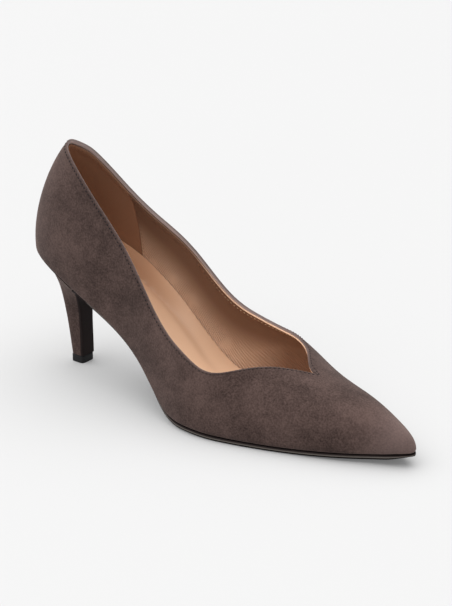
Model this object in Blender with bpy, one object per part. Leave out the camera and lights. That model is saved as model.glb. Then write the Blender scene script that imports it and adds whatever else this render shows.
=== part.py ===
"""A stiletto pump for the right foot, standing empty on its heel tip and its forefoot.

Lengths are millimetres, which MM turns into Blender's metres. +X runs to the toe, -Y is the outer side,
+Y the inner side and +Z is up. The origin is the middle of the heel tip's face on the floor.

The upper follows a last. The last's outline on the foot bed is the feather line, which widths in a table
give on both sides of a straight axis. From each point of it a wall curve rises in an upright plane to the
last's ridge: the planes stand across the shoe along its middle, and fan out round the back of the heel
and round the toe. The topline is where the wall curves stop.
"""

import bmesh
import bpy
import numpy as np

MM = 0.001

# The last
LENGTH = 253.0  # feather line, from the back of the heel seat to the toe point
BALL_WIDTH = 78.0
SEAT_HEIGHT = 64.2  # floor to the upper's underside, at the back of the heel seat
TREAD_HEIGHT = 3.0  # floor to the upper's underside, at the tread
TOE_SPRING = 4.9  # rise of the toe point above the tread
CONE_HEIGHT = 97.0  # height of the last's ridge above the heel seat
HEEL_FAN = 38.0  # back of the heel seat to the upright axis of the planes round the heel
TOE_FAN = 12.0  # toe point to the upright axis of the planes round the toe
FAN_EASE = 15.0  # half the length over which the heel's fan turns into planes across the shoe
SPRING_START = 0.70  # share of the length where the toe begins to rise
NOTCH = 0.757  # share of the length where the two toplines meet on the ridge

# The upper's material
WALL = 1.6  # suede and lining together
MARGIN = 7.0  # width of the lasting margin, turned in under the foot
MARGIN_SHARE = 0.5  # most that the margin takes of the way in to a fan's axis
CORNER = 3.2  # reach of the rounded corner between the margin and the wall

# The insole
INSOLE = 2.6
INSOLE_SIDE = 0.6  # inner wall to the insole's upper edge
INSOLE_BEVEL = 1.0  # how much further in its lower edge lies, clear of the upper's rounded corner
INSOLE_TOE = 3.0  # how much further it stops short of the toe point
INSOLE_TOE_RUN = 24.0  # length over which that grows

# The sole
WAIST_SOLE = 1.6  # thickness along the waist
SOLE_INSET = 1.2  # feather line to the sole's edge, at the forefoot
WAIST_INSET = 2.4  # feather line to the sole's edge, at the waist
WAIST_END = 0.40  # share of the length up to which the sole is as thin as at the waist
TREAD_START = 0.52  # share of the length from which it has its full thickness
FLAP = 1.2  # thickness of the sole's flap down the front of the heel

# The heel
TIP_WIDTH = 10.0
TIP_DEPTH = 9.0
LIFT = 4.5  # height of the wearing piece
HEEL_SET_IN = 28.4  # back of the heel seat to the middle of the heel tip
BREAST = 43.0  # back of the heel seat to the front of the heel, at the seat
SEAT_INSET = 1.0  # feather line to the heel's edge, at the seat
TIP_SQUARENESS = 5.0  # exponent of the tip's rounded outline: 2 is an ellipse, more is squarer
RIM_TURN = 8.0  # how late, going up, the heel's edge turns up into its cupped seat
STEM_SHARE = 0.6  # share of the heel's height that is slim stem, with fewer cross-sections
FLAP_SHARE = 0.97  # share of the heel's height up to which the sole's flap covers its front

GAP = 0.3  # clearance between pieces that touch
STEP = 0.5  # half the run over which a slope is measured
TINY = 1e-3  # a share of a wall curve that is next to nothing
WELD = 1e-6  # metres within which points are one
SHARP = 40.0  # degrees from which an edge is shaded sharp

# How finely the surfaces are divided
COLUMNS = 52  # from the back of the heel to the toe, on each side
WALL_ROWS = 9
CORNER_ROWS = 3
HEEL_COLUMNS = 12
STEM_ROWS = 6
SEAT_ROWS = 8

# Half-widths of the feather line, as shares of the ball width
PLAN = (
    # along, outer side, inner side
    (0.00, 0.000, 0.000),
    (0.04, 0.180, 0.180),
    (0.12, 0.275, 0.265),
    (0.22, 0.310, 0.280),
    (0.33, 0.330, 0.285),
    (0.44, 0.435, 0.330),
    (0.54, 0.525, 0.415),
    (0.64, 0.490, 0.480),
    (0.74, 0.395, 0.390),
    (0.85, 0.265, 0.270),
    (0.94, 0.130, 0.150),
    (1.00, 0.000, 0.000),
)

# Height of the foot bed between the tread and the heel seat, as a share of that rise
RISE = (
    # along, share
    (0.00, 1.000),
    (0.10, 0.918),
    (0.20, 0.762),
    (0.30, 0.555),
    (0.40, 0.270),
    (0.47, 0.052),
    (0.54, 0.010),
    (0.61, 0.000),
)
SEAT_SLOPE = -0.25  # slope of RISE at the back of the heel seat

# The ridge as a share of the cone height above the foot bed, how far the wall curves lean out at first
# as shares of the ball width, how high they do as a share of the wall, and how far the shoulder under
# the ridge reaches out as a share of the half-width
WALLS = (
    # along, ridge, lean out, lean in, lift, outer shoulder, inner shoulder
    (0.00, 1.000, 0.058, 0.058, 0.390, 0.40, 0.40),
    (0.06, 0.950, 0.054, 0.054, 0.395, 0.39, 0.39),
    (0.16, 0.855, 0.038, 0.050, 0.417, 0.38, 0.39),
    (0.30, 0.768, 0.021, 0.062, 0.460, 0.40, 0.52),
    (0.45, 0.745, 0.013, 0.073, 0.493, 0.44, 0.67),
    (0.58, 0.566, 0.009, 0.075, 0.501, 0.46, 0.73),
    (0.66, 0.449, 0.010, 0.068, 0.509, 0.50, 0.75),
    (0.75, 0.332, 0.021, 0.059, 0.536, 0.60, 0.76),
    (0.85, 0.255, 0.024, 0.046, 0.540, 0.65, 0.76),
    (0.94, 0.162, 0.022, 0.024, 0.520, 0.63, 0.71),
    (1.00, 0.075, 0.008, 0.008, 0.500, 0.60, 0.60),
)

# Sideways place of the ridge, as a share of the ball width
RIDGE = (
    # along, share
    (0.00, 0.000),
    (0.50, -0.037),
    (0.75, 0.016),
    (1.00, 0.000),
)

# How far up each wall curve the topline lies: 1 is the ridge
TOPLINE = (
    # along, outer side, inner side
    (0.00, 0.760, 0.760),
    (0.05, 0.715, 0.720),
    (0.12, 0.660, 0.670),
    (0.20, 0.585, 0.610),
    (0.30, 0.490, 0.595),
    (0.40, 0.385, 0.595),
    (0.50, 0.400, 0.510),
    (0.58, 0.415, 0.530),
    (0.64, 0.575, 0.635),
    (0.70, 0.800, 0.825),
    (0.735, 0.925, 0.975),
    (NOTCH, 1.000, 1.000),
)

# The heel's form between the tip (0) and the seat (1)
HEEL = (
    # up, width, back, front, likeness to the seat's outline
    (0.00, 0.000, 0.000, 0.00, 0.00),
    (0.15, 0.000, 0.060, 0.00, 0.00),
    (0.30, 0.000, 0.125, -0.01, 0.00),
    (0.45, 0.005, 0.205, -0.02, 0.00),
    (0.60, 0.035, 0.290, -0.02, 0.00),
    (0.72, 0.120, 0.375, 0.02, 0.10),
    (0.84, 0.320, 0.510, 0.20, 0.35),
    (0.93, 0.610, 0.705, 0.52, 0.70),
    (1.00, 1.000, 1.000, 1.00, 1.00),
)


def spline(places, values, start=None, end=None):
    """A smooth curve through the values. Its end slopes are given, or left free with None."""
    x = np.asarray(places, float)
    y = np.asarray(values, float)
    step = np.diff(x)
    rise = np.diff(y) / step
    count = len(x)
    system = np.zeros((count, count))
    known = np.zeros(count)
    for i in range(1, count - 1):
        system[i, i - 1 : i + 2] = step[i], 2 * (step[i - 1] + step[i]), step[i - 1]
        known[i] = 3 * (step[i] * rise[i - 1] + step[i - 1] * rise[i])
    system[0, :2] = (2, 1) if start is None else (1, 0)
    known[0] = 3 * rise[0] if start is None else start
    system[-1, -2:] = (1, 2) if end is None else (0, 1)
    known[-1] = 3 * rise[-1] if end is None else end
    slope = np.linalg.solve(system, known)

    def curve(at):
        at = np.clip(at, x[0], x[-1])
        i = np.clip(np.searchsorted(x, at) - 1, 0, count - 2)
        t = (at - x[i]) / step[i]
        first = y[i] * (1 + 2 * t) + slope[i] * step[i] * t
        last = y[i + 1] * (3 - 2 * t) - slope[i + 1] * step[i] * (1 - t)
        return first * (1 - t) ** 2 + last * t**2

    return curve


def round_place(along):
    """Place of a share of the length on a scale that opens out at both ends, 0 to 1."""
    return np.arccos(1 - 2 * np.clip(along, 0, 1)) / np.pi


def share_at(place):
    """The share of the length at a place on that scale."""
    return (1 - np.cos(np.pi * np.asarray(place, float))) / 2


def column(table, index):
    return [row[index] for row in table]


def curve_of(table, index, **ends):
    """A column of a table as a smooth curve over the round scale."""
    return spline(round_place(np.array(column(table, 0))), column(table, index), **ends)


PLANS = {-1: curve_of(PLAN, 1), 1: curve_of(PLAN, 2)}
BED_RISE = spline(column(RISE, 0), column(RISE, 1), start=SEAT_SLOPE, end=0.0)
RIDGE_SHIFT = spline(column(RIDGE, 0), column(RIDGE, 1))
RIDGE_HEIGHT = curve_of(WALLS, 1, start=0.0, end=0.0)
LEANS = {-1: curve_of(WALLS, 2, start=0.0, end=0.0), 1: curve_of(WALLS, 3, start=0.0, end=0.0)}
LIFTS = curve_of(WALLS, 4, start=0.0, end=0.0)
SHOULDERS = {-1: curve_of(WALLS, 5, start=0.0, end=0.0), 1: curve_of(WALLS, 6, start=0.0, end=0.0)}
TOPLINES = {-1: curve_of(TOPLINE, 1, start=0.0), 1: curve_of(TOPLINE, 2, start=0.0)}
HEEL_WIDTH, HEEL_BACK, HEEL_FRONT, HEEL_LIKENESS = (
    spline(column(HEEL, 0), column(HEEL, index)) for index in range(1, 5)
)


def bed(x):
    """Height of the upper's underside at x from the back of the heel seat."""
    share = np.clip(x / LENGTH, 0, 1)
    spring = np.clip((share - SPRING_START) / (1 - SPRING_START), 0, 1) ** 2
    return TREAD_HEIGHT + (SEAT_HEIGHT - TREAD_HEIGHT) * BED_RISE(share) + TOE_SPRING * spring


def above_bed(x, distance):
    """Height at x of the surface that lies a distance off the bed, measured square to its slope."""
    slope = (bed(x + STEP) - bed(x - STEP)) / (2 * STEP)
    return bed(x) + distance * np.sqrt(1 + slope**2)


def ridge(x):
    return bed(x) + CONE_HEIGHT * RIDGE_HEIGHT(round_place(x / LENGTH))


def feather(place, side, inset=0.0):
    """Plan points of the feather line, moved inwards along its normal by the inset."""
    place = np.asarray(place, float)
    ends = []
    for at in (place - TINY / 2, place + TINY / 2):
        mirrored = np.where((at < 0) | (at > 1), -1, 1)
        inside = np.abs(np.where(at > 1, 2 - at, at))
        ends.append((LENGTH * share_at(inside), mirrored * side * BALL_WIDTH * PLANS[side](inside)))
    run = np.stack(ends[1]) - np.stack(ends[0])
    run /= np.hypot(*run)
    x = LENGTH * share_at(place)
    y = side * BALL_WIDTH * PLANS[side](place)
    return x + side * run[1] * inset, y - side * run[0] * inset


def axis_place(x):
    """Where the plane through the feather line at x meets the axis: a soft corner, then a hard one."""
    past = np.clip(x - HEEL_FAN + FAN_EASE, 0, 2 * FAN_EASE)
    eased = HEEL_FAN + past**2 / (4 * FAN_EASE)
    return np.minimum(np.where(past < 2 * FAN_EASE, eased, x), LENGTH - TOE_FAN)


def wall_frame(place, side):
    """For each place on the feather line: the axis point, the direction out and the curve's values."""
    x, y = feather(place, side)
    axis_x = axis_place(x)
    axis_y = BALL_WIDTH * RIDGE_SHIFT(axis_x / LENGTH)
    reach = np.maximum(np.hypot(x - axis_x, y - axis_y), 1e-9)
    out = (x - axis_x) / reach, (y - axis_y) / reach
    foot = bed(x)
    crest = ridge(axis_x)
    ridge_slope = (ridge(axis_x + STEP) - ridge(axis_x - STEP)) / (2 * STEP)
    slope = np.where(x > LENGTH - TOE_FAN, ridge_slope, 0.0)
    shoulder = SHOULDERS[side](place) * reach
    lean = BALL_WIDTH * LEANS[side](place)
    radii = np.stack([reach, reach + lean, shoulder, 0 * reach])
    lifted = foot + LIFTS(place) * (crest - foot)
    heights = np.stack([foot, lifted, crest + slope * out[0] * shoulder, crest])
    return (axis_x, axis_y), out, radii, heights


def cubic(ends, t):
    """Bezier curve with four control values, for each column at its parameters t."""
    a, b, c, d = (value[:, None] for value in ends)
    return a * (1 - t) ** 3 + 3 * b * t * (1 - t) ** 2 + 3 * c * t**2 * (1 - t) + d * t**3


def topline_share(place, side):
    """How far up the wall curves the material goes: all the way beyond the notch."""
    notch = round_place(NOTCH)
    return np.where(place >= notch, 1.0, TOPLINES[side](np.minimum(place, notch)))


def upper_rows(place, side):
    """Radii and heights of the outer surface, from the margin's inner edge up to the topline."""
    axis, out, radii, heights = wall_frame(place, side)
    wall_height = heights[3] - heights[0]
    start = CORNER / (3 * LIFTS(place) * wall_height)
    top = topline_share(place, side)
    t = start[:, None] + (top - start)[:, None] * np.linspace(0, 1, WALL_ROWS + 1)
    wall_r = cubic(radii, t)
    wall_z = cubic(heights, t)
    lead_r = cubic(radii, start[:, None] + TINY)[:, 0] - wall_r[:, 0]
    lead_z = cubic(heights, start[:, None] + TINY)[:, 0] - wall_z[:, 0]
    foot = heights[0]
    bend_r = wall_r[:, 0] - lead_r / lead_z * (wall_z[:, 0] - foot)
    margin_r = bend_r - CORNER
    inner_r = radii[0] - np.minimum(MARGIN, MARGIN_SHARE * radii[0])
    u = np.linspace(0, 1, CORNER_ROWS + 2)[:-1]
    corner_r = (
        np.outer(margin_r, (1 - u) ** 2) + np.outer(bend_r, 2 * u * (1 - u)) + np.outer(wall_r[:, 0], u**2)
    )
    corner_z = np.outer(foot, 1 - u**2) + np.outer(wall_z[:, 0], u**2)
    r = np.hstack([inner_r[:, None], corner_r, wall_r])
    z = np.hstack([foot[:, None], corner_z, wall_z])
    x = axis[0][:, None] + out[0][:, None] * r
    y = axis[1][:, None] + out[1][:, None] * r
    on_bed = np.concatenate([[1.0], (1 - u) ** 2, np.zeros(WALL_ROWS + 1)])
    return np.stack([x, y, z + (bed(x) - foot[:, None]) * on_bed], axis=-1)


def mesh_object(name, points, faces, finish):
    """An object from points measured from the back of the heel seat, with equal points welded."""
    mesh = bpy.data.meshes.new(name)
    placed = (np.asarray(points, float) - (HEEL_SET_IN, 0, 0)) * MM
    mesh.from_pydata(placed.tolist(), [], faces)
    shape = bmesh.new()
    shape.from_mesh(mesh)
    bmesh.ops.remove_doubles(shape, verts=shape.verts, dist=WELD)
    bmesh.ops.dissolve_degenerate(shape, edges=shape.edges, dist=WELD)
    bmesh.ops.recalc_face_normals(shape, faces=shape.faces)
    shape.to_mesh(mesh)
    shape.free()
    mesh.shade_smooth()
    mesh.set_sharp_from_angle(angle=np.radians(SHARP))
    mesh.materials.append(finish)
    obj = bpy.data.objects.new(name, mesh)
    bpy.context.scene.collection.objects.link(obj)
    return obj


def grid_faces(columns, rows, first=0, turned=False):
    """Four-sided faces of a grid whose points run down each column in turn."""
    faces = []
    for i in range(columns - 1):
        for j in range(rows - 1):
            a = first + i * rows + j
            face = (a, a + rows, a + rows + 1, a + 1)
            faces.append(face[::-1] if turned else face)
    return faces


def skin(loops, capped=(True, True)):
    """Points and faces of a body whose closed cross-sections follow one another."""
    loops = np.asarray(loops, float)
    count, size = loops.shape[:2]
    faces = []
    for i in range(count - 1):
        for j in range(size):
            a = i * size + j
            b = i * size + (j + 1) % size
            faces.append((a, b, b + size, a + size))
    if capped[0]:
        faces.append(tuple(range(size)))
    if capped[1]:
        faces.append(tuple(range((count - 1) * size, count * size)))
    return loops.reshape(-1, 3), faces


def material(name, colour, roughness):
    made = bpy.data.materials.new(name)
    made.use_nodes = True
    shader = made.node_tree.nodes["Principled BSDF"]
    shader.inputs["Base Color"].default_value = (*colour, 1.0)
    shader.inputs["Roughness"].default_value = roughness
    shader.inputs["Metallic"].default_value = 0.0
    return made


def places_with_notch():
    """Places along the feather line, with one on the notch and one at the end of each fan."""
    fixed = [0.0, HEEL_FAN / LENGTH, NOTCH, 1 - TOE_FAN / LENGTH, 1.0]
    fixed = [float(round_place(share)) for share in fixed]
    places = [fixed[0]]
    for start, end in zip(fixed, fixed[1:]):
        steps = max(1, round((end - start) * COLUMNS))
        places.extend(np.linspace(start, end, steps + 1)[1:])
    return np.array(places)


def make_upper(suede):
    """The outer surface as a sheet, which Solidify gives its wall and its cut edges."""
    places = places_with_notch()
    points = []
    faces = []
    for side in (-1, 1):
        rows = upper_rows(places, side)
        faces += grid_faces(rows.shape[0], rows.shape[1], len(points), turned=side > 0)
        points.extend(rows.reshape(-1, 3))
    upper = mesh_object("upper", points, faces, suede)
    wall = upper.modifiers.new("Wall", "SOLIDIFY")
    wall.thickness = WALL * MM
    wall.offset = -1.0
    wall.use_even_offset = True
    wall.use_quality_normals = True
    return upper


def make_insole(leather):
    """The board and sock: a sheet of one thickness that lies on the margin, inside the walls."""
    places = np.linspace(0, 1, COLUMNS + 1)
    toe = np.clip((LENGTH * share_at(places) - LENGTH) / INSOLE_TOE_RUN + 1, 0, 1) ** 2
    edges = []
    for inset, lift in ((INSOLE_SIDE + INSOLE_BEVEL, 0.0), (INSOLE_SIDE, INSOLE)):
        for side in (-1, 1):
            axis, out, radii, _ = wall_frame(places, side)
            reach = radii[0] - WALL - inset - INSOLE_TOE * toe
            x = axis[0] + out[0] * reach
            z = above_bed(x, WALL + GAP + lift)
            edges.append(np.stack([x, axis[1] + out[1] * reach, z], -1))
    outer_low, inner_low, outer_high, inner_high = edges
    loops = np.stack([outer_low, inner_low, inner_high, outer_high], axis=1)
    return mesh_object("insole", *skin(loops, (False, False)), leather)


def heel_front(up):
    """The front of the heel at its middle: x from the back of the seat, height and half-widths."""
    tip_x = HEEL_SET_IN + TIP_DEPTH / 2
    x = tip_x + (BREAST - tip_x) * HEEL_FRONT(up) - FLAP - GAP
    low = LIFT + GAP
    z = low + (above_bed(BREAST, -GAP) - low) * up
    halves = []
    for side in (-1, 1):
        seat_half = abs(feather(round_place(BREAST / LENGTH), side, SEAT_INSET)[1])
        halves.append(TIP_WIDTH / 2 + (seat_half - TIP_WIDTH / 2) * HEEL_WIDTH(up))
    return x, z, halves


def heel_outline(up):
    """One cross-section of the heel, from its outer front corner round the back to the inner one."""
    around = np.linspace(0, 1, HEEL_COLUMNS + 1)
    seat_place = around * round_place(BREAST / LENGTH)
    low = LIFT + GAP
    front_x, _, halves = heel_front(up)
    back_x = HEEL_SET_IN - TIP_DEPTH / 2
    back_x = back_x + (SEAT_INSET - back_x) * HEEL_BACK(up)
    loop = []
    for side, half in zip((-1, 1), halves):
        seat_x, seat_y = feather(seat_place, side, SEAT_INSET)
        seat_depth = (seat_x - seat_x[0]) / (seat_x[-1] - seat_x[0])
        seat_width = np.abs(seat_y) / np.abs(seat_y[-1])
        angle = around * np.pi / 2
        tip_depth = 1 - np.cos(angle) ** (2 / TIP_SQUARENESS)
        tip_width = np.sin(angle) ** (2 / TIP_SQUARENESS)
        mix = HEEL_LIKENESS(up)
        x = back_x + (front_x - back_x) * (tip_depth + (seat_depth - tip_depth) * mix)
        y = side * half * (tip_width + (seat_width - tip_width) * mix)
        seat_z = above_bed(seat_x, -GAP) + corner_rise(SEAT_INSET) * up**RIM_TURN
        loop.append(np.stack([x, y, low + (seat_z - low) * up], -1))
    outer, inner = loop
    return np.vstack([outer[::-1], inner[1:]])


def corner_rise(inset):
    """How high the upper's rounded corner stands off the floor of the margin, at an inset."""
    reach = np.clip(1 - np.sqrt(inset / CORNER), 0, 1)
    return CORNER * reach**2


def make_heel(suede):
    """Cross-sections from the tip up to the seat, and a seat that cups the upper's corner."""
    stem = np.linspace(0, STEM_SHARE, STEM_ROWS + 1)
    ups = np.concatenate([stem[:-1], np.linspace(STEM_SHARE, 1, SEAT_ROWS + 1)])
    points = []
    faces = []
    size = 2 * HEEL_COLUMNS + 1
    for up in ups:
        points.extend(heel_outline(up))
    for i in range(len(ups) - 1):
        for j in range(size - 1):
            a = i * size + j
            faces.append((a, a + 1, a + size + 1, a + size))

    # The front, between the two front corners, with points at the inner edge of the seat's cup
    first = len(points)
    cup_share = CORNER / max(heel_front(1.0)[2])
    for up in ups:
        x, z, halves = heel_front(up)
        for side, half in zip((-1, 1), halves):
            points.append((x, side * half * (1 - cup_share), z))
    for i in range(len(ups) - 1):
        low = first + 2 * i
        left, right = i * size, i * size + size - 1
        faces.append((left, low, low + 2, left + size))
        faces.append((low, low + 1, low + 3, low + 2))
        faces.append((low + 1, right, right + size, low + 3))

    # The tip's face
    faces.append((*range(size), first + 1, first))

    # The seat: a sloping rim and the bed inside it
    rim = (len(ups) - 1) * size
    seat = len(points)
    top = np.array(points[rim : rim + size])
    front_x, front_z, halves = heel_front(1.0)
    middle = np.linspace(0, 1, size) * 2 - 1
    inner_y = top[:, 1] * (1 - cup_share)
    back_x = SEAT_INSET + CORNER
    inner_x = back_x + (top[:, 0] - top[:, 0].min()) * (front_x - back_x) / (front_x - top[:, 0].min())
    inner_z = above_bed(inner_x, -GAP)
    inner_z[[0, -1]] = front_z
    points.extend(np.stack([inner_x, inner_y, inner_z], -1))
    for j in range(size - 1):
        faces.append((rim + j, rim + j + 1, seat + j + 1, seat + j))
    half = size // 2
    for j in range(half):
        a, b = seat + j, seat + size - 1 - j
        faces.append((a, a + 1, b - 1, b) if j < half - 1 else (a, a + 1, b))
    return mesh_object("heel", points, faces, suede)


def make_top_lift(rubber):
    """The wearing piece: the tip's outline, drawn out downwards to the floor."""
    angle = np.linspace(0, np.pi / 2, HEEL_COLUMNS + 1)
    depth = np.cos(angle) ** (2 / TIP_SQUARENESS)
    width = np.sin(angle) ** (2 / TIP_SQUARENESS)
    x = HEEL_SET_IN + TIP_DEPTH / 2 - TIP_DEPTH * depth
    y = TIP_WIDTH / 2 * width
    loop = np.vstack([np.stack([x, -y], -1)[::-1], np.stack([x, y], -1)[1:]])
    loops = [np.column_stack([loop, np.full(len(loop), z)]) for z in (0.0, LIFT)]
    return mesh_object("top_lift", *skin(loops), rubber)


def offset_path(path, distance):
    """A path in the xz plane moved to its right-hand side, with mitred corners."""
    run = np.diff(path, axis=0)
    run /= np.linalg.norm(run, axis=1)[:, None]
    normal = np.stack([-run[:, 1], run[:, 0]], -1)
    before = np.vstack([normal[:1], normal])
    after = np.vstack([normal, normal[-1:]])
    mitre = before + after
    mitre /= (mitre * before).sum(1)[:, None]
    return path + mitre * np.reshape(distance, (-1, 1))


def sole_thickness(x):
    """Full under the tread, thin along the waist, with an even change between them."""
    share = np.clip((x / LENGTH - WAIST_END) / (TREAD_START - WAIST_END), 0, 1)
    full = TREAD_HEIGHT - GAP
    return WAIST_SOLE + (full - WAIST_SOLE) * share**2 * (3 - 2 * share)


def sole_inset(x):
    share = np.clip((x / LENGTH - WAIST_END) / (TREAD_START - WAIST_END), 0, 1)
    return WAIST_INSET + (SOLE_INSET - WAIST_INSET) * share**2 * (3 - 2 * share)


def make_outsole(leather):
    """The sole from the toe to the heel, and its flap down the front of the heel to the wearing piece."""
    seat_place = round_place((BREAST + FLAP) / LENGTH)
    places = np.linspace(1, seat_place, COLUMNS)
    stem = np.linspace(STEM_SHARE, 0, STEM_ROWS)
    ups = np.concatenate([np.linspace(FLAP_SHARE, STEM_SHARE, SEAT_ROWS + 1), stem[1:]])
    flap_x, flap_z, flap_halves = heel_front(ups)
    corners = []
    for side, half in zip((-1, 1), flap_halves):
        x, y = feather(places, side, sole_inset(LENGTH * share_at(places)))
        forepart = np.stack([x, above_bed(x, -GAP)], -1)
        flap = offset_path(np.stack([flap_x, flap_z], -1), GAP)
        path = np.vstack([forepart, flap])
        thickness = np.concatenate([sole_thickness(x), np.full(len(flap), FLAP)])
        under = offset_path(path, thickness)
        across = np.concatenate([y, side * np.minimum(half, abs(y[-1]))])
        upper_edge = np.stack([path[:, 0], across, path[:, 1]], -1)
        lower_edge = np.stack([under[:, 0], across, under[:, 1]], -1)
        corners.append((lower_edge, upper_edge))
    (outer_low, outer_high), (inner_low, inner_high) = corners
    loops = np.stack([outer_low, inner_low, inner_high, outer_high], axis=1)
    return mesh_object("outsole", *skin(loops, (False, True)), leather)


def clear_scene():
    for obj in list(bpy.data.objects):
        bpy.data.objects.remove(obj, do_unlink=True)


def main():
    clear_scene()
    bpy.context.scene.unit_settings.scale_length = 1.0
    suede = material("Suede", (0.098, 0.072, 0.067), 0.95)
    sock = material("Sock leather", (0.61, 0.33, 0.17), 0.55)
    sole = material("Sole leather", (0.022, 0.019, 0.018), 0.5)
    rubber = material("Rubber", (0.012, 0.012, 0.013), 0.45)
    make_upper(suede)
    make_insole(sock)
    make_outsole(sole)
    make_heel(suede)
    make_top_lift(rubber)


main()
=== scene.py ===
# %% [markdown]
# # A suede stiletto pump, dressed around its solids
# The shoe stands empty on its heel tip and its forefoot. The frame gives five plain solids: the upper, the
# insole, the outsole, the heel and the top lift. This lesson gives each of them its fine surface and its
# finish. +X runs to the toe, -Y is the outer side, +Y the inner side, and +Z is up.

import bpy
import numpy as np
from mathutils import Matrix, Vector


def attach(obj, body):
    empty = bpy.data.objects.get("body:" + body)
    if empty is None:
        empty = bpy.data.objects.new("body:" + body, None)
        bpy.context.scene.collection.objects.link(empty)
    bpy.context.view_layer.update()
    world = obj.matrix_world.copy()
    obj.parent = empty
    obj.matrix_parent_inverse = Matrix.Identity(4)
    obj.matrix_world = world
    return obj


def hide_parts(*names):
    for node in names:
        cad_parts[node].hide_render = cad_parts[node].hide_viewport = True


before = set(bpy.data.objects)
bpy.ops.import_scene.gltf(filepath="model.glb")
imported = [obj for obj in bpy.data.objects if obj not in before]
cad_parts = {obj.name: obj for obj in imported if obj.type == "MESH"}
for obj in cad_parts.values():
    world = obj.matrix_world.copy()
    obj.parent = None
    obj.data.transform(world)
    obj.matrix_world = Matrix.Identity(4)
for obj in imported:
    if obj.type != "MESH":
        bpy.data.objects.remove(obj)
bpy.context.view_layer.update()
print("nodes of the frame:", sorted(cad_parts))

# %% [markdown]
# ## The last
# A shoe's upper is pulled over a last, so one set of functions can give every surface that follows it: the
# suede, the lining, the sock and the sole. The last could be sculpted or subdivided from a rough cage.
# Here it is worked out instead, because the layers then lie parallel by themselves. Its outline on the
# foot bed is the feather line. From each point of that line a wall curve rises in an upright plane to the
# ridge. The planes stand across the shoe in the middle, and fan out round the heel and round the toe.
# Lengths are millimetres, measured from the back of the heel seat, until a mesh is made.

# %% Named sizes of the last
MM = 0.001
LENGTH = 253.0
BALL_WIDTH = 78.0
SEAT_HEIGHT = 64.2
TREAD_HEIGHT = 3.0
TOE_SPRING = 4.9
SPRING_START = 0.70
CONE_HEIGHT = 97.0
HEEL_FAN = 38.0
TOE_FAN = 12.0
FAN_EASE = 15.0
NOTCH = 0.757
HEEL_SET_IN = 28.4
WALL = 1.6
MARGIN = 7.0
MARGIN_SHARE = 0.5
CORNER = 3.2
GAP = 0.3
LOBE_SETBACK = 0.9
LOBE_FROM = 0.42
LOBE_TO = 0.54
NOTCH_FADE = 8.0
STEP = 0.5
TINY = 1e-3
NEAR = 0.01
SLIGHT = 1e-9

# Half-widths of the feather line, as shares of the ball width
PLAN = np.array([
    # along, outer side, inner side
    (0.00, 0.000, 0.000),
    (0.04, 0.180, 0.180),
    (0.12, 0.275, 0.265),
    (0.22, 0.310, 0.280),
    (0.33, 0.330, 0.285),
    (0.44, 0.435, 0.330),
    (0.54, 0.525, 0.415),
    (0.64, 0.490, 0.480),
    (0.74, 0.395, 0.390),
    (0.85, 0.265, 0.270),
    (0.94, 0.130, 0.150),
    (1.00, 0.000, 0.000),
])

# Height of the foot bed between the tread and the heel seat, as a share of that rise
RISE = np.array([
    # along, share
    (0.00, 1.000),
    (0.10, 0.918),
    (0.20, 0.762),
    (0.30, 0.555),
    (0.40, 0.270),
    (0.47, 0.052),
    (0.54, 0.010),
    (0.61, 0.000),
])
SEAT_SLOPE = -0.25

# The ridge's height, how far and how high the wall curves lean out, and their shoulders' reach
WALLS = np.array([
    # along, ridge, lean out, lean in, lift, outer shoulder, inner shoulder
    (0.00, 1.000, 0.058, 0.058, 0.390, 0.40, 0.40),
    (0.06, 0.950, 0.054, 0.054, 0.395, 0.39, 0.39),
    (0.16, 0.855, 0.038, 0.050, 0.417, 0.38, 0.39),
    (0.30, 0.768, 0.021, 0.062, 0.460, 0.40, 0.52),
    (0.45, 0.745, 0.013, 0.073, 0.493, 0.44, 0.67),
    (0.58, 0.566, 0.009, 0.075, 0.501, 0.46, 0.73),
    (0.66, 0.449, 0.010, 0.068, 0.509, 0.50, 0.75),
    (0.75, 0.332, 0.021, 0.059, 0.536, 0.60, 0.76),
    (0.85, 0.255, 0.024, 0.046, 0.540, 0.65, 0.76),
    (0.94, 0.162, 0.022, 0.024, 0.520, 0.63, 0.71),
    (1.00, 0.075, 0.008, 0.008, 0.500, 0.60, 0.60),
])

# Sideways place of the ridge, as a share of the ball width
RIDGE = np.array([
    # along, share
    (0.00, 0.000),
    (0.50, -0.037),
    (0.75, 0.016),
    (1.00, 0.000),
])

# How far up each wall curve the topline lies: 1 is the ridge
TOPLINE = np.array([
    # along, outer side, inner side
    (0.00, 0.760, 0.760),
    (0.05, 0.715, 0.720),
    (0.12, 0.660, 0.670),
    (0.20, 0.585, 0.610),
    (0.30, 0.490, 0.595),
    (0.40, 0.385, 0.595),
    (0.50, 0.400, 0.510),
    (0.58, 0.415, 0.530),
    (0.64, 0.575, 0.635),
    (0.70, 0.800, 0.825),
    (0.735, 0.925, 0.975),
    (NOTCH, 1.000, 1.000),
])


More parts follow.
